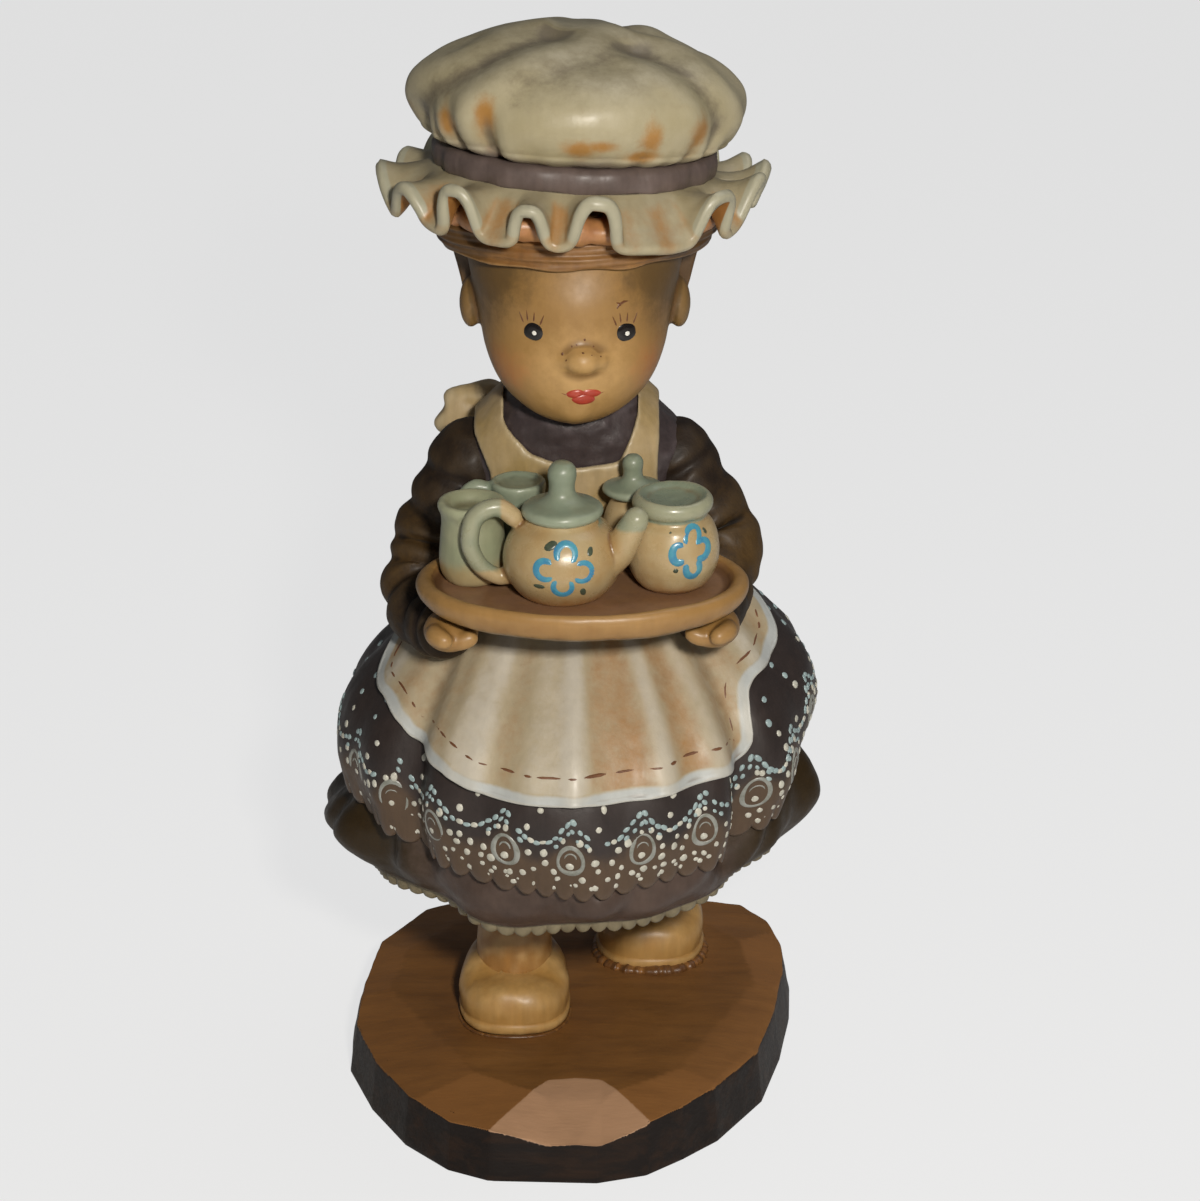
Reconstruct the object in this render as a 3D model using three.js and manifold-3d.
// A carved and painted wooden figurine: a child in a frilled cap and an apron, walking with a tray of tea
// things. It is glued up from separately carved pieces on hidden dowels and stands on a faceted plinth.
// Millimetres, +Z up. The child faces -Y, and its left hand is towards +X. Angles round the figure
// are measured from the front, positive towards +X. Heights start at the underside of the plinth.

import * as THREE from 'three';
import { mergeVertices } from 'three/addons/utils/BufferGeometryUtils.js';
import { ConvexGeometry } from 'three/addons/geometries/ConvexGeometry.js';
import Module from 'manifold-3d';

const wasm = await Module();
wasm.setup();

// Glue clearances, used wherever one carved piece fits in or against another.
const glueGap = 0.3;
const dowelGap = 0.15;

// Plinth.
const plinthHeight = 9;
const plinthEdgeDrop = 0.7;

// Shoes and boot legs.
const shoeLength = 20;
const shoeWidth = 15.6;
const shoeHeight = 8.8;
const legRadius = 5.3;
const legHeight = 29.5;
const legSocketDepth = 4;
const shoeSocketDepth = 5;
const ankleSetback = 10.4;
const legDowelRadius = 1.5;
const plinthSocketDepth = 6.5;

// Petticoat, dress skirt and apron skirt.
const skirtCentreY = 1;
const skirtRadius = 32;
// The ankles stand inside the petticoat, at shares of the skirt's radius from its middle.
// A stride is how far a leg leans back from its foot to its top, as such a share too.
const rightAnkle = { across: -0.271875, back: 0.1625, stride: 0.046875 };
const leftAnkle = { across: 0.325, back: 0.76875, stride: -0.3125 };
const petticoatHeight = 11.5;
const petticoatRecess = 2.6;
const petticoatHemThickness = 1.2;
const petticoatPlugHeight = 3;
const skirtDrop = 39;
const skirtTrail = 0.15;
const hemRecess = 3.4;
const plugRadius = 24.8;
const scallopCount = 50;
const scallopDepth = 0.8;
const apronThickness = 1;
const trimScallopDepth = 0.8;
const trimThickness = 1.1;
const trimDrop = 1.3;
const waistFlatness = 0.78;

// Bodice, bib, waistband and bow.
const bodiceHeight = 19;
const bibThickness = 0.9;
const waistbandHeight = 2.4;
const waistbandThickness = 1.3;
const neckDowelRadius = 2.5;
const armDowelRadius = 1.2;
const bowDowelRadius = 0.8;

// Sleeves and hands.
const armDowelLength = 9;

// Head, hair and cap.
const headLift = 18.2;
const headHeight = 31.2;
const hairThickness = 1.9;
const bandWall = 3.4;
const frillReach = 8.2;
const frillDroop = 5.6;
const frillLift = 6.2;
const frillThickness = 1.2;
const bandHeight = 2.4;
const bandRadius = 17.9;
const crownHeight = 14.4;
const crownRadius = 20.9;
const hairRoom = 3;
const capPitch = THREE.MathUtils.degToRad(-4.5);
const capRoll = THREE.MathUtils.degToRad(3);
const crownDowelRadius = 2.5;

// Tray and tea things.
const trayHalfWidth = 21;
const trayHalfDepth = 14.1;
const trayThickness = 4.2;
const trayRimHeight = 1.3;
const trayCentre = { x: 1, y: -21.5 };
const trayDowelRadius = 0.8;

// Levels that follow from the sizes above.
const soleLevel = plinthHeight;
const legFootLevel = soleLevel + shoeHeight - shoeSocketDepth;
const petticoatHemLevel = legFootLevel + legHeight - legSocketDepth - petticoatRecess;
const skirtHemLevel = petticoatHemLevel + petticoatHeight - petticoatPlugHeight;
const waistLevel = skirtHemLevel + skirtDrop;
const chinLevel = waistLevel + headLift;
const capLevel = chinLevel + headHeight;
const trayLevel = waistLevel - 2.6;
const trayFloorLevel = trayLevel + trayThickness - trayRimHeight;
const crownPegRadius = bandRadius - bandWall;

const RADIANS = Math.PI / 180;
const TURN = 2 * Math.PI;

/** A soft bump of height 1 at an angle, in degrees, round the figure. */
function bump(angle, centre, width) {
  const away = ((((angle - centre + 180) % 360) + 360) % 360) - 180;
  return Math.exp(-((away / width) ** 2));
}

/** A smooth curve through [place, value] pairs. */
function along(pairs, place) {
  const last = pairs.length - 1;
  if (place <= pairs[0][0]) return pairs[0][1];
  if (place >= pairs[last][0]) return pairs[last][1];
  const i = pairs.findIndex((pair, n) => n < last && place < pairs[n + 1][0]);
  const slope = (n) => {
    const before = pairs[Math.max(n - 1, 0)];
    const after = pairs[Math.min(n + 1, last)];
    return (after[1] - before[1]) / (after[0] - before[0]);
  };
  const span = pairs[i + 1][0] - pairs[i][0];
  const t = (place - pairs[i][0]) / span;
  const h = t * t * (3 - 2 * t);
  return pairs[i][1] * (1 - h) + pairs[i + 1][1] * h
    + span * t * (1 - t) * (slope(i) * (1 - t) - slope(i + 1) * t);
}

function smooth(low, high, value) {
  const t = Math.min(Math.max((value - low) / (high - low), 0), 1);
  return t * t * (3 - 2 * t);
}

/** Rings of points joined into a closed skin: its ends are closed with fans, or a loop joins last to first. */
function skin(rings, loop = false) {
  const count = rings[0].length;
  const points = rings.flat();
  const faces = [];
  const at = (ring, n) => (ring % rings.length) * count + (n % count);
  const last = loop ? rings.length : rings.length - 1;
  for (let ring = 0; ring < last; ring += 1) {
    for (let n = 0; n < count; n += 1) {
      faces.push(at(ring, n), at(ring, n + 1), at(ring + 1, n + 1));
      faces.push(at(ring, n), at(ring + 1, n + 1), at(ring + 1, n));
    }
  }
  if (!loop) {
    const middle = (ring) => ring.reduce((sum, p) => sum.add(p), new THREE.Vector3()).divideScalar(count);
    const low = points.push(middle(rings[0])) - 1;
    const high = points.push(middle(rings[rings.length - 1])) - 1;
    for (let n = 0; n < count; n += 1) {
      faces.push(low, at(0, n + 1), at(0, n));
      faces.push(high, at(rings.length - 1, n), at(rings.length - 1, n + 1));
    }
  }
  return indexed(points, faces);
}

/** A sheet with thickness: two grids of points, front and back, joined round their edges. */
function slab(front, back) {
  const columns = front[0].length;
  const rows = front.length;
  const points = [...front.flat(), ...back.flat()];
  const behind = rows * columns;
  const at = (r, c) => r * columns + c;
  const faces = [];
  for (let r = 0; r < rows - 1; r += 1) {
    for (let c = 0; c < columns - 1; c += 1) {
      const corner = [at(r, c), at(r, c + 1), at(r + 1, c + 1), at(r + 1, c)];
      faces.push(corner[0], corner[1], corner[2], corner[0], corner[2], corner[3]);
      const back4 = corner.map((n) => n + behind);
      faces.push(back4[0], back4[2], back4[1], back4[0], back4[3], back4[2]);
    }
  }
  const edge = [];
  for (let c = 0; c < columns - 1; c += 1) edge.push(at(0, c));
  for (let r = 0; r < rows - 1; r += 1) edge.push(at(r, columns - 1));
  for (let c = columns - 1; c > 0; c -= 1) edge.push(at(rows - 1, c));
  for (let r = rows - 1; r > 0; r -= 1) edge.push(at(r, 0));
  edge.forEach((a, n) => {
    const b = edge[(n + 1) % edge.length];
    faces.push(b, a, a + behind, b, a + behind, b + behind);
  });
  return indexed(points, faces);
}

function indexed(points, faces) {
  const geometry = new THREE.BufferGeometry();
  const positions = points.flatMap((p) => [p.x, p.y, p.z]);
  geometry.setAttribute('position', new THREE.Float32BufferAttribute(positions, 3));
  geometry.setIndex(faces);
  return geometry;
}

/** The geometry with only its positions, its shared corners merged and its empty triangles left out. */
function merged(geometry) {
  const bare = geometry.clone();
  bare.deleteAttribute('normal');
  bare.deleteAttribute('uv');
  const clean = mergeVertices(bare, 1e-4);
  const corners = clean.index.array;
  const faces = [];
  for (let n = 0; n < corners.length; n += 3) {
    const [a, b, c] = corners.slice(n, n + 3);
    if (a !== b && b !== c && c !== a) faces.push(a, b, c);
  }
  clean.setIndex(faces);
  return clean;
}

function solid(geometry) {
  const clean = merged(geometry);
  return new wasm.Manifold(new wasm.Mesh({
    numProp: 3,
    vertProperties: new Float32Array(clean.attributes.position.array),
    triVerts: new Uint32Array(clean.index.array),
  }));
}

/** The same geometry with its surface moved outwards by a clearance. */
function grown(geometry, clearance) {
  const swollen = merged(geometry);
  swollen.computeVertexNormals();
  const { position, normal } = swollen.attributes;
  for (let n = 0; n < position.count; n += 1) {
    position.setXYZ(
      n,
      position.getX(n) + normal.getX(n) * clearance,
      position.getY(n) + normal.getY(n) * clearance,
      position.getZ(n) + normal.getZ(n) * clearance,
    );
  }
  return swollen;
}

/** A solid with other geometries, each given a clearance, cut away from it. Loose chips are dropped. */
function cutBy(piece, cutters, clearance = glueGap) {
  const rest = cutters.reduce((left, cutter) => left.subtract(solid(grown(cutter, clearance))), piece);
  return rest.decompose().sort((a, b) => b.volume() - a.volume())[0];
}

function geometryOf(piece) {
  const { vertProperties, triVerts, numProp } = piece.getMesh();
  const geometry = new THREE.BufferGeometry();
  const positions = [];
  for (let n = 0; n < vertProperties.length; n += numProp) {
    positions.push(vertProperties[n], vertProperties[n + 1], vertProperties[n + 2]);
  }
  geometry.setAttribute('position', new THREE.Float32BufferAttribute(positions, 3));
  geometry.setIndex([...triVerts]);
  return geometry;
}

/** A straight round rod between two points. */
function rod(from, to, radius, sides = 16) {
  const start = new THREE.Vector3(...from);
  const axis = new THREE.Vector3(...to).sub(start);
  const geometry = new THREE.CylinderGeometry(radius, radius, axis.length(), sides);
  geometry.translate(0, axis.length() / 2, 0);
  const turn = new THREE.Quaternion().setFromUnitVectors(new THREE.Vector3(0, 1, 0), axis.normalize());
  geometry.applyQuaternion(turn);
  geometry.translate(start.x, start.y, start.z);
  return geometry;
}

/**
 * A round limb whose radius changes along a smooth path, with domed ends. Stations are [x, y, z, radius].
 * The level vector is one that the path never runs along.
 */
function limb(stations, steps, sides, level = [0, 1, 0]) {
  const path = new THREE.CatmullRomCurve3(stations.map(([x, y, z]) => new THREE.Vector3(x, y, z)));
  const radii = stations.map(([, , , r], n) => [n / (stations.length - 1), r]);
  const rings = [];
  const dome = 0.03;
  const shares = [0, dome];
  for (let n = 1; n < steps; n += 1) shares.push(dome + ((1 - 2 * dome) * n) / steps);
  shares.push(1 - dome, 1);
  shares.forEach((t) => {
    const centre = path.getPoint(t);
    const ahead = path.getTangent(t);
    const side = new THREE.Vector3().crossVectors(ahead, new THREE.Vector3(...level)).normalize();
    const up = new THREE.Vector3().crossVectors(side, ahead).normalize();
    const end = Math.min(t, 1 - t);
    const radius = along(radii, t) * along([[0, 0.45], [dome, 0.85], [3 * dome, 1]], end);
    const ring = [];
    for (let n = 0; n < sides; n += 1) {
      const turn = (TURN * n) / sides;
      ring.push(centre.clone()
        .addScaledVector(side, radius * Math.cos(turn))
        .addScaledVector(up, -radius * Math.sin(turn)));
    }
    rings.push(ring);
  });
  return skin(rings);
}

function paint(color, roughness = 0.5) {
  return new THREE.MeshStandardMaterial({ color, roughness, metalness: 0 });
}

const stainedWalnut = paint(0x5b3a22, 0.5);
const waxedMaple = paint(0xb9853f, 0.4);
const plainBeech = paint(0xcaa472, 0.7);
const petticoatPlum = paint(0x4c3d3a, 0.45);
const laceGrey = paint(0x8e8674, 0.55);
const dressBrown = paint(0x3d2f29, 0.45);
const apronCream = paint(0xc9b592, 0.5);
const skinTone = paint(0xd0a468, 0.4);
const hairBrown = paint(0x8a5a2a, 0.5);
const capCream = paint(0xc8bfa0, 0.5);
const bandMauve = paint(0x6a5c5a, 0.5);
const trayOchre = paint(0xb3803d, 0.35);
const potCream = paint(0xc6ae82, 0.35);
const celadon = paint(0x8d9c80, 0.35);

const figure = new THREE.Group();

/** Adds one named piece to the figure, or to a group inside it. */
function add(name, piece, material, group = figure) {
  const geometry = piece.isBufferGeometry ? merged(piece) : geometryOf(piece);
  geometry.computeVertexNormals();
  const mesh = new THREE.Mesh(geometry, material.clone());
  mesh.name = name;
  group.add(mesh);
  return mesh;
}

// Plinth: a slab of walnut, sawn to an irregular outline, with its top edge cut back in facets.
// Each corner is [x, y] on the underside, and the inset and drop of the edge above it.
const plinthCorners = [
  [-11.6, -27.4, 1.2, 0.2], [2.8, -28, 0.6, 0], [9.4, -26, 0.8, 0], [14.4, -21.8, 0.8, 0],
  [19.2, -17, 0.8, 0.3], [25.6, -6.4, 0.8, 0.6], [28.6, 5.4, 1, 0.4], [30.4, 17, 1, 0], [30.9, 26.4, 1.8, 0.3],
  [28.8, 34.4, 2, 0], [25, 39.8, 1.8, 0], [4, 41.4, 1.6, 0.4], [-15, 41, 1.6, 0], [-23.6, 38.2, 2, 0],
  [-30.2, 27, 2, 0.2], [-31.9, 13.8, 1.8, 0], [-31.8, 2, 1, 0.3], [-28.2, -8.6, 0.9, 0], [-23.2, -18, 0.9, 0.2],
  [-17.2, -24.6, 0.9, 0],
];
const plinthMiddle = { x: 0, y: 7 };
const facetInset = 1.5;
const facetSpread = 3;

// One broad scoop was pared off the front edge with a gouge. Its path falls forwards by its slope.
const scoop = { x: -0.9, top: -14.3, radius: 26, slope: 0.25 };

function plinthPoint([x, y], inset, height) {
  const out = Math.hypot(x - plinthMiddle.x, y - plinthMiddle.y);
  const share = (out - inset) / out;
  return new THREE.Vector3(
    plinthMiddle.x + (x - plinthMiddle.x) * share,
    plinthMiddle.y + (y - plinthMiddle.y) * share,
    height,
  );
}

const plinthSlab = new ConvexGeometry(plinthCorners.flatMap((corner) => {
  const [, , inset, drop] = corner;
  return [
    plinthPoint(corner, 0, 0),
    plinthPoint(corner, inset, plinthHeight - plinthEdgeDrop - drop),
    plinthPoint(corner, inset + facetInset + drop * facetSpread, plinthHeight),
  ];
}));

const scoopAxis = plinthHeight + scoop.radius * Math.hypot(1, scoop.slope);
const scoopReach = 45;
const plinthScoop = rod(
  [scoop.x, scoop.top + scoopReach, scoopAxis + scoopReach * scoop.slope],
  [scoop.x, scoop.top - scoopReach, scoopAxis - scoopReach * scoop.slope],
  scoop.radius,
  72,
);

// Shoes: rounded clog-like boots, flat on the plinth, with a welt round the sole.
const shoeRows = [
  [0, 0.95], [0.1, 1], [0.24, 1], [0.3, 0.96], [0.56, 0.96], [0.82, 0.8], [1, 0.42],
];

function shoe(toe) {
  const rings = shoeRows.map(([share, spread]) => {
    const ring = [];
    for (let n = 0; n < 24; n += 1) {
      const turn = (TURN * n) / 24;
      const box = 0.42;
      const across = Math.sign(Math.cos(turn)) * Math.abs(Math.cos(turn)) ** (1 - box * 0.6);
      const lengthways = Math.sign(Math.sin(turn)) * Math.abs(Math.sin(turn)) ** (1 - box * 0.6);
      const waist = 1 - 0.12 * smooth(-0.2, 0.7, lengthways);
      ring.push(new THREE.Vector3(
        toe.x + (shoeWidth / 2) * across * spread * waist,
        toe.y + shoeLength / 2 + (shoeLength / 2) * lengthways * (spread * 0.5 + 0.5),
        soleLevel + shoeHeight * share,
      ));
    }
    return ring;
  });
  return skin(rings);
}

// Boot legs: round, set in the top of each shoe and plugged into the underside of the petticoat.
// Each leans by its stride, measured from its foot to its top.
const legRows = [[0, 1], [0.2, 0.98], [0.45, 0.93], [0.8, 0.96], [1, 1]];

function leg(toe) {
  const rings = legRows.map(([share, spread]) => {
    const ring = [];
    for (let n = 0; n < 20; n += 1) {
      const turn = (TURN * n) / 20;
      ring.push(new THREE.Vector3(
        toe.x + legRadius * spread * Math.cos(turn),
        toe.y + ankleSetback + toe.stride * share + legRadius * spread * Math.sin(turn),
        legFootLevel + legHeight * share,
      ));
    }
    return ring;
  });
  return skin(rings);
}

/** The dowel that runs from the plinth through a shoe and up its leg, with some slack at both ends. */
function legDowel(toe, radius, slack) {
  const lean = toe.stride / legHeight;
  const at = (height) => [toe.x, toe.y + ankleSetback + lean * (height - legFootLevel), height];
  return rod(at(plinthHeight - plinthSocketDepth - slack), at(legFootLevel + legHeight - 2 + slack), radius);
}

/** The tip of a clog's sole and the lean of its leg, from the place of its ankle. */
function toeOf(ankle) {
  return {
    x: skirtRadius * ankle.across,
    y: skirtCentreY + skirtRadius * ankle.back - ankleSetback,
    stride: skirtRadius * ankle.stride,
  };
}

const toes = { right: toeOf(rightAnkle), left: toeOf(leftAnkle) };
let plinth = solid(plinthSlab).subtract(solid(plinthScoop));
for (const [side, toe] of Object.entries(toes)) {
  const hole = solid(legDowel(toe, legDowelRadius + dowelGap, glueGap));
  plinth = plinth.subtract(hole);
  add(`shoe_${side}`, cutBy(solid(shoe(toe)), [leg(toe)]).subtract(hole), waxedMaple);
  add(`boot_leg_${side}`, solid(leg(toe)).subtract(hole), waxedMaple);
  add(`leg_dowel_${side}`, legDowel(toe, legDowelRadius, 0), plainBeech);
}
add('plinth', plinth, stainedWalnut);

// Skirts: bell shapes with deep folds. Radii and fold depths are shares of the skirt's radius, and go with
// the share of the drop from waist to hem.
const skirtRadii = [
  [0, 0.406], [0.1, 0.481], [0.23, 0.6], [0.36, 0.731], [0.49, 0.85], [0.62, 0.947], [0.75, 0.994], [0.88, 1],
  [1, 0.9625],
];
const skirtFolds = [
  [-46, 6.5, 0.119], [47, 6, 0.119], [-22, 9, 0.025], [14, 6, 0.022], [29, 6, 0.022], [-96, 6, 0.038],
  [98, 6, 0.038], [-122, 9, 0.062], [124, 9, 0.062], [-154, 9, 0.069], [156, 9, 0.069], [-67, 6, 0.016],
  [70, 6, 0.016],
];
const hipHollow = 0.069;

/** The height of the dress hem above its lowest level: it is lowest in front and swings up at the left. */
function hemRise(angle) {
  return skirtDrop * (0.041 * (1 - bump(angle, 0, 24)) + 0.251 * bump(angle, 94, 30)
    + 0.082 * bump(angle, -84, 30) + 0.031 * bump(angle, 180, 50));
}

/** How far front (1) or back a point of the skirts lies: towards the hem their backs trail behind. */
function depthWay(angle, share) {
  const ahead = Math.cos(angle * RADIANS);
  return ahead < 0 ? ahead * (1 + skirtTrail * share) : ahead;
}

/** A point of the bell without its folds: share runs from 0 at the waist to 1 at the hem. */
function bellPoint(angle, share, proud = 0, drop = 0) {
  const hip = hipHollow * bump(angle, -84, 34) * bump(share * 100, 40, 20);
  const radius = skirtRadius * (along(skirtRadii, share) - hip) + proud;
  const flat = waistFlatness + (1 - waistFlatness) * smooth(0, 0.6, share);
  return new THREE.Vector3(
    radius * Math.sin(angle * RADIANS),
    skirtCentreY - radius * flat * depthWay(angle, share),
    waistLevel - (skirtDrop - hemRise(angle)) * share - drop,
  );
}

/** The same point with the folds pressed into it; proud moves it outwards. */
function skirtPoint(angle, share, proud = 0, drop = 0) {
  const depth = 0.12 + 0.88 * smooth(0.05, 0.75, share);
  const folds = skirtFolds.reduce((sum, [at, width, deep]) => sum + deep * bump(angle, at, width), 0);
  const ruffle = 0.45 * Math.sin(angle * 13 * RADIANS) * smooth(0.7, 1, share);
  return bellPoint(angle, share, proud + ruffle - skirtRadius * folds * depth, drop);
}

const skirtSegments = scallopCount * 2;
const skirtShares = [1, 0.84, 0.66, 0.48, 0.3, 0.14, 0];

function anglesAround(count) {
  return Array.from({ length: count }, (_, n) => (360 * n) / count);
}

function ringAround(count, pointAt) {
  return anglesAround(count).map((angle, n) => pointAt(angle, n));
}

/** A point of the round socket under the dress hem, with some slack, at a height above the hem. */
function plugPoint(angle, slack, height) {
  const radius = plugRadius + slack;
  return new THREE.Vector3(
    radius * Math.sin(angle * RADIANS),
    skirtCentreY - radius * depthWay(angle, 1),
    skirtPoint(angle, 1).z + height,
  );
}

/** The dress skirt: a bell with a scalloped lace edge and a recess under it for the petticoat. */
function dressSkirt() {
  const scallop = (n) => (n % 2 ? 0 : scallopDepth);
  return skin([
    ringAround(skirtSegments, (angle) => plugPoint(angle, glueGap, hemRecess)),
    ringAround(skirtSegments, (angle) => plugPoint(angle, glueGap, 0)),
    ...skirtShares.map((share) => ringAround(
      skirtSegments,
      (angle, n) => skirtPoint(angle, share, 0, share === 1 ? scallop(n) : 0),
    )),
  ]);
}

// The apron lies over the front of the skirt. Its hem is low in front and sweeps up round both sides.
const apronHem = [
  [0, 0.72], [20, 0.72], [33, 0.705], [41, 0.67], [47, 0.6], [54, 0.5], [60, 0.42], [67, 0.34], [76, 0.25],
  [86, 0.14], [96, 0.05],
];
const apronSweep = 90;

function apronSkirt() {
  const columns = [];
  const step = 360 / skirtSegments;
  for (let angle = -apronSweep; angle <= apronSweep; angle += step) columns.push(angle);
  const sheet = (proud) => skirtShares.map((share) => columns.map(
    (angle) => skirtPoint(angle, Math.min(share, along(apronHem, Math.abs(angle))), proud),
  ));
  return slab(sheet(glueGap + apronThickness), sheet(glueGap));
}

// The petticoat plugs up into the dress skirt, swells below its hem and turns in to its own hem. Its reach
// and its belly go with the share of the way from its hem up to the dress.
const petticoatReach = [[0, 0], [0.2, 0.35], [0.5, 0.75], [0.8, 0.98], [1, 1]];
const petticoatBelly = [[0, 0], [0.2, 0.62], [0.42, 1], [0.65, 0.8], [0.85, 0.35], [1, 0]];
const petticoatTuck = 0.4;

function petticoatHem(angle) {
  return petticoatHemLevel + petticoatHeight * (0.104 * bump(angle, 20, 30) - 0.087 * bump(angle, -112, 30)
    + 0.139 * bump(angle, -66, 20) + 0.191 * bump(angle, 72, 26) - 0.13 * bump(angle, 180, 40));
}

/** The hem radius of the petticoat and the depth of its belly. */
function petticoatRadius(angle) {
  const hem = 0.775 + 0.112 * bump(angle, -104, 34) - 0.031 * bump(angle, 62, 22)
    - 0.019 * bump(angle, -52, 16) + 0.05 * bump(angle, 104, 26) + 0.062 * bump(angle, 180, 60);
  const swell = 0.031 + 0.128 * bump(angle, -100, 26) + 0.081 * bump(angle, 94, 26)
    + 0.047 * bump(angle, 180, 50);
  return { hem: skirtRadius * hem, swell: skirtRadius * swell };
}

/** A point of the petticoat: share runs from 0 at its hem to 1 just under the dress hem. */
function petticoatPoint(angle, share, inset = 0, lift = 0) {
  const under = skirtPoint(angle, 1, -1, scallopDepth + glueGap);
  const { hem, swell } = petticoatRadius(angle);
  const back = under.y > skirtCentreY ? 1 + skirtTrail : 1;
  const reach = Math.hypot(under.x, (under.y - skirtCentreY) / back) - petticoatTuck;
  const wave = 0.5 * Math.sin(angle * 9 * RADIANS) * (1 - share);
  const radius = hem + (reach - hem) * along(petticoatReach, share) + swell * along(petticoatBelly, share)
    + wave - inset;
  const low = petticoatHem(angle);
  return new THREE.Vector3(
    radius * Math.sin(angle * RADIANS),
    skirtCentreY - radius * depthWay(angle, 1),
    low + (under.z - low) * share + lift,
  );
}

const petticoatSegments = 48;

function petticoat() {
  const rib = petticoatHemThickness;
  return skin([
    ringAround(petticoatSegments, (angle) => petticoatPoint(angle, 0, rib + 7, petticoatRecess)),
    ringAround(petticoatSegments, (angle) => petticoatPoint(angle, 0, rib, petticoatRecess)),
    ringAround(petticoatSegments, (angle) => petticoatPoint(angle, 0, rib)),
    ...[0, 0.22, 0.48, 0.75, 1].map(
      (share) => ringAround(petticoatSegments, (angle) => petticoatPoint(angle, share)),
    ),
    ringAround(petticoatSegments, (angle) => plugPoint(angle, 0, -glueGap)),
    ringAround(petticoatSegments, (angle) => plugPoint(angle, 0, hemRecess - glueGap)),
  ]);
}

/** The petticoat's own lace edging: a thin scalloped hoop glued inside its hem. */
function laceTrim() {
  const scallop = (n) => (n % 2 ? 0 : trimScallopDepth);
  const outside = petticoatHemThickness + glueGap;
  const inside = outside + trimThickness;
  const top = petticoatRecess - glueGap;
  return skin([
    ringAround(skirtSegments, (angle) => petticoatPoint(angle, 0, inside, top)),
    ringAround(skirtSegments, (angle, n) => petticoatPoint(angle, 0, inside, -trimDrop - scallop(n))),
    ringAround(skirtSegments, (angle, n) => petticoatPoint(angle, 0, outside, -trimDrop - scallop(n))),
    ringAround(skirtSegments, (angle) => petticoatPoint(angle, 0, outside, top)),
  ], true);
}

const dress = dressSkirt();
const apron = apronSkirt();
let petticoatBlock = solid(petticoat());
for (const toe of Object.values(toes)) {
  petticoatBlock = cutBy(petticoatBlock, [leg(toe)]);
}
add('petticoat', petticoatBlock, petticoatPlum);
add('petticoat_lace', laceTrim(), laceGrey);

// A pin through the top of the apron and skirt holds the back of the tray.
const trayPinStart = -4;
const trayPinLength = 13;

function trayPin(radius, slack) {
  const level = trayLevel + 1.3;
  const end = trayPinStart - trayPinLength;
  return rod([0, trayPinStart + slack, level], [0, end - slack, level], radius, 12);
}

const trayPinRoom = solid(trayPin(trayDowelRadius + dowelGap, glueGap));
add('dress_skirt', solid(dress).subtract(trayPinRoom), dressBrown);
add('apron_skirt', solid(apron).subtract(trayPinRoom), apronCream);

// Bodice: an oval trunk from the waist to the collar.
// Rows are [height above the waist, half width, half depth].
const bodiceRows = [
  [0, 12.4, 8.6], [3, 12.8, 8.8], [7, 14, 9.2], [11, 15, 9.4], [14, 13.6, 9.6], [16, 11.6, 9.7], [17.6, 10, 9.4],
  [bodiceHeight, 8.6, 8.8],
];
const bodiceCentreY = 0.8;
const bodiceSegments = 30;

function bodice(grow = 0) {
  return skin(bodiceRows.map(([rise, halfWidth, halfDepth], row) => ringAround(bodiceSegments, (angle) => {
    const end = row === 0 ? -grow : 0;
    return new THREE.Vector3(
      (halfWidth + grow) * Math.sin(angle * RADIANS),
      bodiceCentreY - (halfDepth + grow) * Math.cos(angle * RADIANS),
      waistLevel + rise + end + (row === bodiceRows.length - 1 ? grow : 0),
    );
  })));
}

// Bib: a thin layer on the bodice, cut to a U with two straps that run over the shoulders.
const bibOutline = [
  [-10.9, 0], [-10.9, 9.6], [-13.2, 14.5], [-13.2, 24], [-9.3, 24], [-9.2, 16.6], [-5.6, 13], [0, 11.4],
  [5.8, 12], [7.9, 17.4], [8, 24], [11, 24], [10.9, 16], [10.6, 10.6], [10.9, 0],
];

function bib() {
  const outline = new THREE.Shape(bibOutline.map(([x, rise]) => new THREE.Vector2(x, waistLevel + rise)));
  const prism = new THREE.ExtrudeGeometry(outline, { depth: 60, bevelEnabled: false });
  prism.rotateX(Math.PI / 2);
  prism.translate(0, 30, 0);
  const lowest = waistLevel + waistbandHeight + glueGap;
  const lift = solid(new THREE.BoxGeometry(60, 60, 60).translate(0, 0, lowest + 30));
  return solid(bodice(glueGap + bibThickness))
    .subtract(solid(bodice(glueGap)))
    .intersect(solid(prism))
    .intersect(lift);
}

// Waistband: a ribbon round the waist that covers the joint between bodice and skirt.
function waistband() {
  const ring = (reach, rise) => ringAround(bodiceSegments, (angle) => new THREE.Vector3(
    (12.7 + reach) * Math.sin(angle * RADIANS),
    bodiceCentreY - (9 + reach) * Math.cos(angle * RADIANS),
    waistLevel + rise,
  ));
  const [low, high] = [glueGap, waistbandHeight];
  return skin([
    ring(glueGap, high), ring(glueGap, low), ring(waistbandThickness, low),
    ring(waistbandThickness + 0.35, (low + high) / 2), ring(waistbandThickness, high),
  ], true);
}

// Head: rows are [height above the chin, half width, front, back], as an egg that is wide at the cheeks.
const headRows = [
  [0, 1.6, -11.4, -8], [0.7, 4.2, -13.2, -3], [2.1, 7.6, -14.9, 2.5], [4.6, 10.4, -16, 7.4], [8.4, 12, -16.6, 12],
  [12.6, 12.4, -16.6, 14.1], [16.5, 13.1, -16.2, 14.8], [20, 13.8, -15.4, 15], [25, 14.1, -14.6, 14.8],
  [29.8, 13, -12.8, 13.6],
];
const headSegments = 26;

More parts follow.
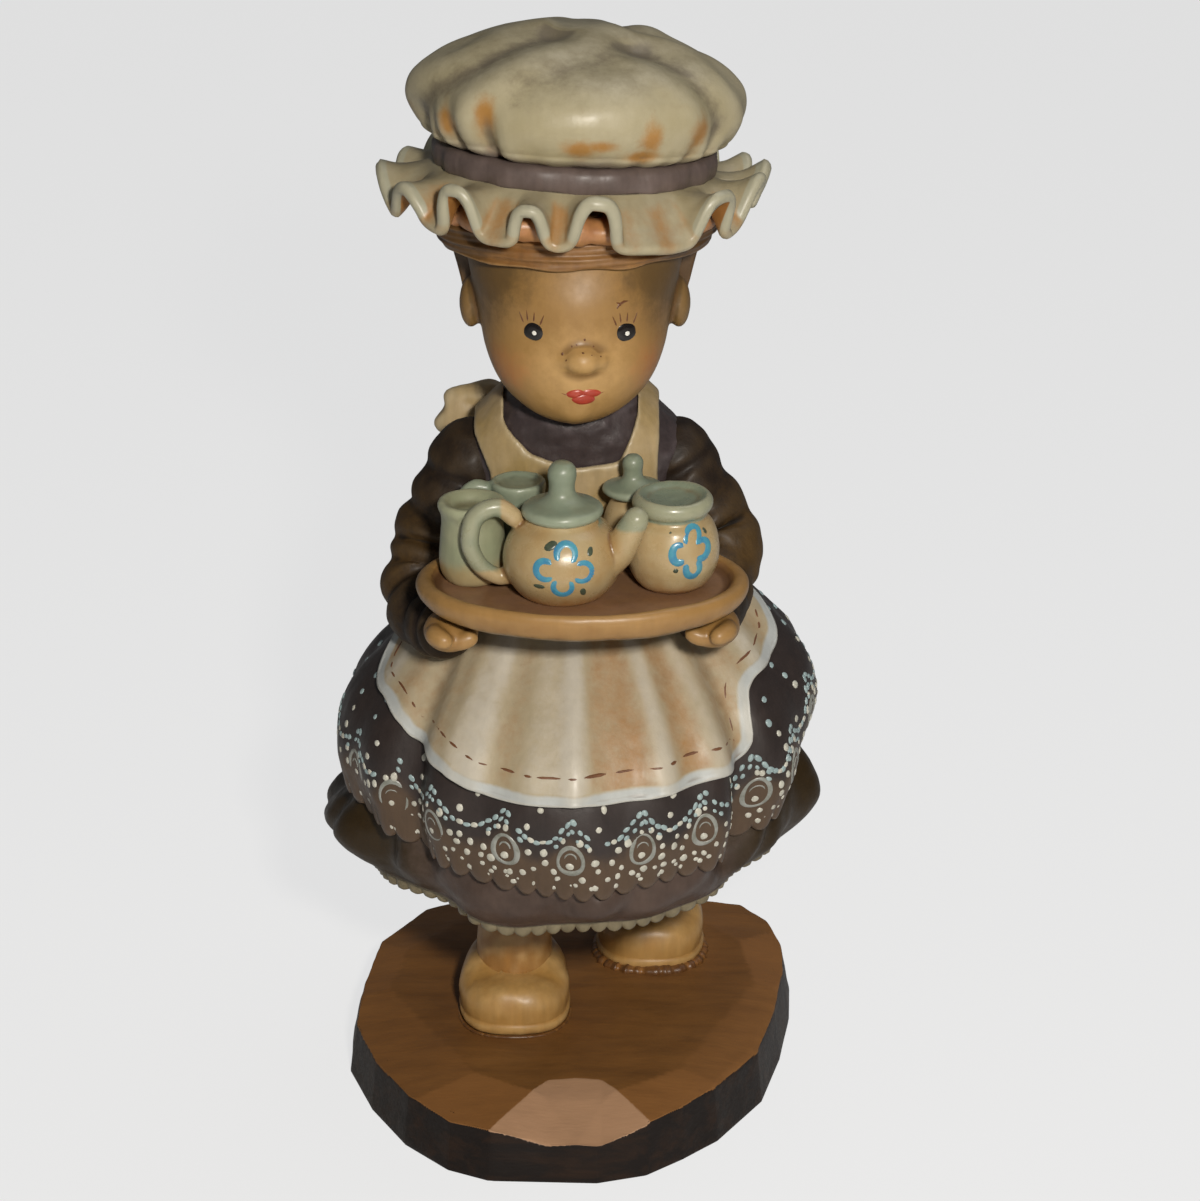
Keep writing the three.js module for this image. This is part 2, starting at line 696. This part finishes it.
function head(grow = 0, rows = headRows) {
  return skin(rows.map(([rise, halfWidth, front, back], row) => ringAround(headSegments, (angle) => {
    const turn = angle * RADIANS;
    const halfDepth = (back - front) / 2;
    const bottom = row === 0 ? -grow : 0;
    return new THREE.Vector3(
      (halfWidth + grow) * Math.sin(turn),
      (front + back) / 2 - (halfDepth + grow) * Math.sign(Math.cos(turn)) * Math.abs(Math.cos(turn)) ** 0.86,
      chinLevel + rise + bottom,
    );
  })));
}

function ball(x, y, z, radii, segments = [10, 8]) {
  const geometry = new THREE.SphereGeometry(1, ...segments);
  geometry.scale(...radii);
  geometry.translate(x, y, z);
  return geometry;
}

// The cap has its own frame: its origin is on the head's axis at the underside of the ribbon band.
const capFrame = new THREE.Group();
capFrame.position.set(0, 0, capLevel);
capFrame.rotation.set(capPitch, capRoll, 0);
capFrame.updateMatrixWorld(true);
figure.add(capFrame);

function inFigure(geometry) {
  return geometry.clone().applyMatrix4(capFrame.matrixWorld);
}

// Frill: a ruffled brim. Each flute is [angle, half width, height], and lifts the edge up and outwards.
const flutes = [
  [-38, 7, 0.95], [-13.6, 5.6, 0.75], [7.4, 7.6, 1], [51, 8.2, 1], [-66, 9, 0.85], [-93, 8, 1], [-114, 7.5, 0.9],
  [-136, 8, 1], [-159, 7.5, 0.9], [178, 8, 1], [155, 8, 0.9], [133, 7.5, 1], [112, 8, 0.9], [92, 8, 1],
  [73, 5.5, 0.75],
];
const frillSegments = 90;
const frillInner = crownPegRadius + glueGap;

/** How far a flute lifts the frill at an angle, as a share of the highest: flat on top, with steep sides. */
function fluteLift(angle) {
  return flutes.reduce((highest, [at, width, high]) => {
    const away = Math.abs(((((angle - at + 180) % 360) + 360) % 360) - 180);
    return Math.max(highest, high * Math.exp(-((away / width) ** 3.2)));
  }, 0);
}

/** A point of the frill: share runs from 0 at the band to 1 at the edge. */
function frillPoint(angle, share, proud = 0) {
  const lift = fluteLift(angle);
  const radius = bandRadius - 0.6 + frillReach * (0.55 + 0.3 * lift) * share + proud * 0.6;
  const fall = share ** 1.15 * (frillDroop - frillLift * lift * share ** 0.35);
  return new THREE.Vector3(
    radius * Math.sin(angle * RADIANS),
    -radius * Math.cos(angle * RADIANS),
    -glueGap - frillThickness - 0.2 - fall + proud * 0.8,
  );
}

function frill() {
  const flat = (radius, height) => ringAround(frillSegments, (angle) => new THREE.Vector3(
    radius * Math.sin(angle * RADIANS),
    -radius * Math.cos(angle * RADIANS),
    height,
  ));
  const outer = [1, 0.7, 0.35];
  const inner = [0.15, 0.55, 0.94];
  return skin([
    ...inner.map((share) => ringAround(frillSegments, (angle) => frillPoint(angle, share, -0.1))),
    ...outer.map((share) => ringAround(frillSegments, (angle) => frillPoint(angle, share, frillThickness))),
    flat(bandRadius - 0.4, -glueGap),
    flat(frillInner, -glueGap),
    flat(frillInner, -glueGap - 2.2),
  ], true);
}

// Ribbon band between frill and crown.
function band() {
  const ring = (radius, height) => ringAround(40, (angle) => new THREE.Vector3(
    radius * Math.sin(angle * RADIANS),
    -radius * Math.cos(angle * RADIANS),
    height,
  ));
  return skin([
    ring(frillInner, bandHeight - glueGap), ring(frillInner, 0), ring(bandRadius - 0.3, 0),
    ring(bandRadius, bandHeight * 0.4), ring(bandRadius - 0.4, bandHeight - glueGap),
  ], true);
}

// Crown: a puffed cloth shape, gathered at the band, with soft valleys across its top.
const crownRows = [
  [0, 0.8], [0.1, 0.92], [0.25, 0.985], [0.42, 1], [0.6, 0.95], [0.78, 0.79], [0.92, 0.5], [1, 0.18],
];
const crownShares = [0, 0.06, 0.14, 0.24, 0.34, 0.44, 0.54, 0.63, 0.71, 0.78, 0.84, 0.89, 0.93, 0.965, 1];
const crownSegments = 60;
const crownMiddle = new THREE.Vector3(0, 0, bandHeight + crownHeight * 0.35);
// Each gather is [angle, half width, depth].
const crownGathers = [
  [-50, 5, 1.2], [-33, 5, 1.1], [-15, 5, 0.5], [1, 5, 0.5], [26, 5, 0.8], [47, 5, 1], [59, 4, 0.9], [70, 5, 0.9],
  [-64, 5, 1], [-76, 5, 1.2], [-95, 6, 1.2], [-113, 6, 1.2], [-132, 6, 1.1], [-150, 6, 1.2], [-168, 6, 1.1],
  [172, 6, 1.2], [154, 6, 1.1], [136, 6, 1.2], [118, 6, 1.1], [100, 6, 1.2], [85, 5, 1],
];
// Each valley between two lobes of the cloth is [depth, half width, path], with the path in the cap's frame.
const crownFolds = [
  [1, 2.7, [
    [-20, -5, 5.5], [-18.9, -8.8, 9], [-16.4, -10.9, 11.2], [-13.3, -11.6, 13], [-10.5, -10.3, 14.4],
    [-7.4, -8, 15.5], [-4.4, -5.9, 16.2],
  ]],
  [0.5, 3.2, [
    [-7.5, -17.8, 11.4], [-6.2, -17.1, 12.6], [-3.5, -16.6, 13.4], [-0.5, -15, 14.3], [2.4, -12.1, 15.1],
    [5, -9.2, 15.6], [7.9, -6.9, 15.6],
  ]],
  [0.9, 2.5, [
    [7.9, -6.9, 15.6], [10.8, -8.6, 14.7], [13.6, -10.4, 13.3], [15.8, -11.3, 11.5], [17.2, -11.4, 9.5],
    [18, -10.6, 7.2],
  ]],
  [0.8, 2.8, [[-18, 4, 11], [-12, 6, 14.6], [-5, 7, 16], [3, 6, 16.4]]],
  [0.8, 2.8, [[18, 6, 11], [12, 4, 14.6], [7, 2, 16]]],
  [0.8, 2.6, [[2, 19, 9], [2, 14, 13.6], [3, 9, 15.6]]],
];
const foldLines = crownFolds.map(([depth, width, path]) => ({
  depth,
  width,
  line: new THREE.CatmullRomCurve3(path.map((place) => new THREE.Vector3(...place))).getPoints(40),
}));

/** How far the cloth is sunk at a point: down in a valley, and up in a soft roll on each side of it. */
function foldDepth(point) {
  return foldLines.reduce((sum, { depth, width, line }) => {
    const away = Math.min(...line.map((place) => place.distanceTo(point))) / width;
    return sum + depth * (Math.exp(-(away ** 2)) - 0.5 * Math.exp(-(((away - 2) / 0.9) ** 2)));
  }, 0);
}

function crown() {
  return skin(crownShares.map((share) => ringAround(crownSegments, (angle) => {
    const gathers = crownGathers.reduce((sum, [at, width, deep]) => sum + deep * bump(angle, at, width), 0);
    const radius = crownRadius * along(crownRows, share) - gathers * (1 - smooth(0, 0.5, share));
    const point = new THREE.Vector3(
      radius * Math.sin(angle * RADIANS),
      -radius * Math.cos(angle * RADIANS),
      bandHeight + crownHeight * share,
    );
    const inwards = crownMiddle.clone().sub(point).normalize();
    return point.addScaledVector(inwards, foldDepth(point) * smooth(0, 0.15, share));
  })));
}

const capCrown = crown();
const capFrill = frill();
const crownPeg = rod([0, 0, glueGap - hairRoom], [0, 0, bandHeight - glueGap], crownPegRadius, 32);
const crownDowelLength = 9;

function crownDowel(radius, slack) {
  return rod([0, 0, bandHeight - 5 - slack], [0, 0, bandHeight - 5 + crownDowelLength + slack], radius);
}

// Neck dowel, from the bodice up into the head.
const neckPlace = { x: 0, y: 0 };
const neckDowelLow = waistLevel + 8;
const neckDowelHigh = chinLevel + 10;

function neckDowel(radius, slack) {
  const { x, y } = neckPlace;
  return rod([x, y, neckDowelLow - slack], [x, y, neckDowelHigh + slack], radius);
}

const earHeight = chinLevel + 13;

function ear(side) {
  return ball(side * 13.3, -1.6, earHeight, [1.5, 2.4, 3.4], [8, 6]);
}

const face = head();
const headSolid = solid(face)
  .add(solid(inFigure(crownPeg)))
  .add(solid(ear(-1)))
  .add(solid(ear(1)))
  .add(solid(ball(1, -16.6, chinLevel + 9.2, [1.9, 1.9, 1.5], [8, 6])))
  .subtract(solid(neckDowel(neckDowelRadius + dowelGap, glueGap)))
  .subtract(solid(inFigure(crownDowel(crownDowelRadius + dowelGap, glueGap))));
add('head', headSolid, skinTone);

// Hair: a cropped bob, a shell over the head. It shows as a fringe under the frill, and behind the ears it is
// cut on a slope down to the nape.
const fringeLevel = chinLevel + 21.7;
const hairFront = -0.4;
const sideLevel = chinLevel + 11;
const napeSlope = -0.5;

function hair() {
  const rows = headRows.filter(([rise]) => rise > 1);
  const shell = solid(head(hairThickness, rows)).subtract(solid(head(glueGap, rows)));
  const faceRoom = new THREE.BoxGeometry(60, 40, 60).translate(0, hairFront - 20, fringeLevel - 30);
  const neckRoom = new THREE.BoxGeometry(60, 80, 60).translate(0, 0, -30);
  neckRoom.rotateX(napeSlope).translate(0, 0, sideLevel);
  const earRoom = [-1, 1].map((side) => solid(grown(ear(side), glueGap)));
  const capRoom = new THREE.BoxGeometry(60, 60, 30).translate(0, 0, 15 - hairRoom);
  return shell.subtract(solid(inFigure(capRoom)))
    .subtract(solid(faceRoom))
    .subtract(solid(neckRoom))
    .subtract(earRoom[0])
    .subtract(earRoom[1]);
}

add('hair', hair(), hairBrown);
add('cap_frill', capFrill, capCream, capFrame);
add('cap_band', band(), bandMauve, capFrame);
const crownDowelRoom = solid(crownDowel(crownDowelRadius + dowelGap, glueGap));
add('cap_crown', solid(capCrown).subtract(crownDowelRoom), capCream, capFrame);
add('crown_dowel', crownDowel(crownDowelRadius, 0), plainBeech, capFrame);

// Sleeves: each is a full puffed arm from the shoulder, round the elbow, to a cuff under the tray.
const rightArm = [
  [-9.6, 1, 12.4, 4.6], [-12.8, 0.6, 9.8, 5.6], [-15.6, 0, 4.4, 6], [-18.4, -1.2, -2.2, 6.1],
  [-20.2, -5, -7.2, 5.7], [-18.2, -12, -8.4, 4.7], [-15.4, -18, -7.4, 3.9],
];
const leftArm = [
  [9.8, 1, 13, 4.6], [12, 0.6, 10.6, 5.5], [14.4, 0, 6, 5.6], [18.6, -1.4, -0.6, 5.6], [18.8, -6, -4.8, 5.2],
  [17.6, -11.5, -6.6, 4.6], [15.8, -17.4, -6.8, 3.9],
];

function sleeve(stations) {
  return limb(stations.map(([x, y, rise, radius]) => [x, y, waistLevel + rise, radius]), 11, 14, [1, 0, 0]);
}

// Tray: an oval board with a rounded rim and a sunk floor.
const trayProfile = [
  [0, 0], [0.84, 0], [0.93, 0.16], [0.985, 0.42], [1, 0.7], [0.985, 0.92], [0.955, 1], [0.915, 0.95],
];

function tray() {
  const wall = trayProfile.map(([out, up]) => new THREE.Vector2(trayHalfWidth * out, trayThickness * up));
  const floor = trayThickness - trayRimHeight;
  const profile = [...wall, new THREE.Vector2(trayHalfWidth * 0.9, floor), new THREE.Vector2(0, floor)];
  const lathe = new THREE.LatheGeometry(profile, 36);
  lathe.rotateX(Math.PI / 2);
  lathe.scale(1, trayHalfDepth / trayHalfWidth, 1);
  lathe.translate(trayCentre.x, trayCentre.y, trayLevel);
  return lathe;
}

// Hands: a rounded palm under the tray, with four fingers curled inwards and the thumb along the rim.
function hand(side, x, y, z) {
  const finger = (n) => limb([
    [x, y - 3 + n * 2, z - 0.6, 1.25],
    [x + side * 3, y - 3.5 + n * 2.1, z - 0.2, 1.2],
    [x + side * 5.8, y - 3.3 + n * 2.1, z + 0.5, 1],
  ], 2, 6);
  const thumb = limb([
    [x - side * 1.8, y - 1.6, z, 1.4],
    [x - side * 1.5, y - 4.4, z + 0.6, 1.3],
    [x + side * 0.4, y - 6, z + 0.2, 1],
  ], 2, 6, [1, 0, 0]);
  const palm = solid(ball(x, y, z - 0.3, [3.4, 4.6, 2.4]));
  return [0, 1, 2, 3].reduce((sum, n) => sum.add(solid(finger(n))), palm).add(solid(thumb));
}

/** The room the clothed body takes up, as plain oval rings. The arms, tray and bow are cut to fit it. */
function bodyRoom() {
  const apronProud = apronThickness + 2 * glueGap + 0.25;
  return skin([
    ...[0.44, 0.32, 0.2, 0.1, 0.02].map(
      (share) => ringAround(24, (angle) => bellPoint(angle, share, apronProud)),
    ),
    ...[
      [2.6, 14.6, 10.7], [3, 14.2, 10.4], [7, 15.4, 10.8], [11, 16.4, 11], [14, 15, 11.2], [16, 13, 11.2],
      [bodiceHeight + 1.5, 10.6, 10.6],
    ].map(([rise, halfWidth, halfDepth]) => ringAround(24, (angle) => new THREE.Vector3(
      halfWidth * Math.sin(angle * RADIANS),
      bodiceCentreY - halfDepth * Math.cos(angle * RADIANS),
      waistLevel + rise,
    ))),
  ]);
}

const body = bodyRoom();
const trayBoard = tray();
const bodiceBlock = bodice();
const waistRibbon = waistband();
const bibSolid = cutBy(bib(), [face]);
const bibGeometry = geometryOf(bib());
const sleeves = { right: sleeve(rightArm), left: sleeve(leftArm) };
const shoulders = {
  right: { from: [-8, 1, waistLevel + 12], to: [-8 - armDowelLength, 0.6, waistLevel + 8] },
  left: { from: [8, 1, waistLevel + 12], to: [8 + armDowelLength, 0.6, waistLevel + 9] },
};
const palms = {
  right: hand(1, -14.9, -23.4, trayLevel - 2.2),
  left: hand(-1, 16.4, -22, trayLevel - 2.2),
};
function armPin(side, radius, slack) {
  const from = new THREE.Vector3(...shoulders[side].from);
  const to = new THREE.Vector3(...shoulders[side].to);
  const ahead = to.clone().sub(from).normalize().multiplyScalar(slack);
  return rod(from.sub(ahead).toArray(), to.add(ahead).toArray(), radius, 12);
}

// Bow at the nape: two loops, a knot and two short tails, pinned to the back of the bodice.
const bowPlace = { x: -1, y: 13, rise: 9.4 };
const bowTilt = 12 * RADIANS;

function bow() {
  const level = waistLevel + bowPlace.rise;
  const loop = (side) => {
    const geometry = ball(side * 8.8, 0, 0, [8.6, 2.2, 3.8], [12, 8]);
    return geometry;
  };
  const tail = (side) => ball(side * 3.2, 0.4, -5.4, [2.2, 1, 4.6], [8, 6]).rotateY(side * 0.3);
  const place = (geometry) => geometry.rotateY(bowTilt).translate(bowPlace.x, bowPlace.y, level);
  return [loop(-1), loop(1), tail(-1), tail(1), ball(0, 0, 0, [2.2, 2.2, 2.4], [8, 6])]
    .map((geometry) => solid(place(geometry)))
    .reduce((sum, piece) => sum.add(piece));
}

function bowPin(radius, slack) {
  const level = waistLevel + bowPlace.rise;
  const { x, y } = bowPlace;
  return rod([x, y - 5.4 - slack, level], [x, y + 0.8 + slack, level], radius, 12);
}

const pinRoom = ['right', 'left'].map((side) => solid(armPin(side, armDowelRadius + dowelGap, glueGap)));
const bowPinRoom = solid(bowPin(bowDowelRadius + dowelGap, glueGap));
add('bodice', cutBy(solid(bodiceBlock), [face])
  .subtract(solid(neckDowel(neckDowelRadius + dowelGap, glueGap)))
  .subtract(pinRoom[0])
  .subtract(pinRoom[1])
  .subtract(bowPinRoom), dressBrown);
add('neck_dowel', neckDowel(neckDowelRadius, 0), plainBeech);
add('apron_bib', bibSolid.subtract(bowPinRoom), apronCream);
add('apron_waistband', waistRibbon, apronCream);
add('apron_bow', cutBy(bow(), [body, head(hairThickness)], glueGap).subtract(bowPinRoom), apronCream);
add('bow_pin', bowPin(bowDowelRadius, 0), plainBeech);

add('tray', cutBy(solid(trayBoard), [body], 0).subtract(trayPinRoom), trayOchre);
['right', 'left'].forEach((side, n) => {
  add(`sleeve_${side}`, cutBy(solid(sleeves[side]), [body], 0).subtract(pinRoom[n]), dressBrown);
  add(`arm_dowel_${side}`, armPin(side, armDowelRadius, 0), plainBeech);
  add(`hand_${side}`, cutBy(palms[side], [trayBoard, sleeves[side]]), skinTone);
});

// Tea things. Each pot is turned, with its spout, handle and rim worked on it, and stands on the tray floor.
function turned(profile, segments = 18) {
  const lathe = new THREE.LatheGeometry(profile.map(([r, z]) => new THREE.Vector2(r, z)), segments);
  lathe.rotateX(Math.PI / 2);
  return lathe;
}

const teaSet = new THREE.Group();
teaSet.position.set(0, 0, trayFloorLevel);
figure.add(teaSet);

function pot(name, geometry, [across, back], material, lift = 0) {
  const mesh = add(name, geometry, material, teaSet);
  mesh.position.set(trayCentre.x + across * trayHalfWidth, trayCentre.y + back * trayHalfDepth, lift);
  return mesh;
}

// Radii are shares of a pot's radius and heights are shares of its height.
const potRadius = 7.2;
const potHeight = 10.4;
const potProfile = [
  [0, 0], [0.62, 0], [0.8, 0.1], [0.95, 0.28], [1, 0.46], [0.95, 0.66], [0.8, 0.84], [0.62, 0.95], [0.58, 1],
  [0, 1],
];
const spoutPath = [
  [0.58, -0.14, 0.37, 0.35], [0.92, -0.22, 0.6, 0.29], [1.14, -0.28, 0.9, 0.24], [1.32, -0.31, 1.17, 0.19],
];
const handlePath = [
  [-0.69, 0, 0.9, 0.16], [-1.06, -0.07, 1.12, 0.16], [-1.44, -0.12, 1, 0.16], [-1.53, -0.14, 0.67, 0.155],
  [-1.36, -0.11, 0.38, 0.15], [-1.06, -0.06, 0.23, 0.145], [-0.8, 0, 0.25, 0.145],
];

/** A limb on a pot: across and along are shares of its radius, and up is a share of its height. */
function onPot(path, radius, height, steps, sides) {
  return limb(path.map(([x, y, z, r]) => [x * radius, y * radius, z * height, r * radius]), steps, sides);
}

function teapot() {
  const belly = turned(potProfile.map(([r, z]) => [potRadius * r, potHeight * z]));
  return solid(belly)
    .add(solid(onPot(spoutPath, potRadius, potHeight, 5, 8)))
    .add(solid(onPot(handlePath, potRadius, potHeight, 9, 6)));
}

function potLid(radius, knob) {
  return turned([
    [0, 0], [radius * 0.96, 0], [radius * 1.06, 0.5], [radius * 1.02, 1.1], [radius * 0.6, 2],
    [knob * 1.12, 3], [knob * 0.9, 4.6], [knob, 5.8], [knob * 0.6, 7], [0, 7.2],
  ]);
}

const bowlRadius = 5.45;
const bowlHeight = 12.2;

function sugarBowl() {
  return turned([
    [0, 0], [0.62, 0], [0.84, 0.12], [0.98, 0.34], [1, 0.5], [0.92, 0.7], [0.82, 0.8], [0.78, 0.85], [0.88, 0.89],
    [0.92, 0.95], [0.88, 1.01], [0.76, 1.03], [0.4, 0.97], [0, 0.96],
  ].map(([r, z]) => [bowlRadius * r, bowlHeight * z]));
}

const jugRadius = 4.1;
const jugHeight = 10.4;

function creamJug() {
  const body = turned([
    [0, 0], [0.78, 0], [0.98, 0.1], [1.04, 0.3], [0.98, 0.6], [0.96, 0.8], [1.06, 0.94], [1, 1.01], [0.86, 1],
    [0.5, 0.94], [0, 0.93],
  ].map(([r, z]) => [jugRadius * r, jugHeight * z]));
  const lip = ball(0.4, -jugRadius * 0.8, jugHeight * 0.94, [1.7, 1.6, 0.8], [10, 6]);
  return solid(body).add(solid(lip));
}

const cupRadius = 3.3;
const cupHeight = 10.9;
const cupHandlePath = [
  [-0.9, 0, 0.86, 0.27], [-1.64, 0, 0.92, 0.27], [-2.09, 0, 0.77, 0.27], [-1.88, 0, 0.55, 0.26],
  [-0.97, 0, 0.42, 0.26],
];

function teaCup() {
  const body = turned([
    [0, 0], [0.66, 0], [0.86, 0.1], [1, 0.4], [1, 0.75], [1.08, 0.93], [1.02, 1], [0.88, 0.99], [0.5, 0.93],
    [0, 0.92],
  ].map(([r, z]) => [cupRadius * r, cupHeight * z]));
  return solid(body).add(solid(onPot(cupHandlePath, cupRadius, cupHeight, 8, 8)));
}

const smallPotRadius = 3.9;
const smallPotHeight = 9.4;
const smallPot = turned(potProfile.map(([r, z]) => [smallPotRadius * r, smallPotHeight * z]));

// Where each pot stands, as shares of the tray's half width and half depth from its middle.
const places = {
  teapot: [-0.143, -0.191], bowl: [0.6, 0.007], jug: [-0.66, 0.163], cup: [-0.39, 0.603], small: [0.305, 0.56],
};

pot('teapot', teapot(), places.teapot, potCream);
pot('teapot_lid', potLid(4.5, 1.8), places.teapot, celadon, potHeight);
pot('sugar_bowl', sugarBowl(), places.bowl, potCream);
pot('cream_jug', creamJug(), places.jug, celadon);
pot('tea_cup', teaCup(), places.cup, celadon);
pot('small_pot', smallPot, places.small, potCream);
pot('small_pot_lid', potLid(3.6, 1.3).scale(1, 1, 0.72), places.small, celadon, smallPotHeight);
add('tray_pin', trayPin(trayDowelRadius, 0), plainBeech);

// The frame's origin is on the underside of the plinth, below the middle of the whole figurine.
const extent = new THREE.Box3().setFromObject(figure);
const middle = extent.getCenter(new THREE.Vector3());
figure.position.set(-middle.x, -middle.y, 0);
figure.updateMatrixWorld(true);

export default figure;
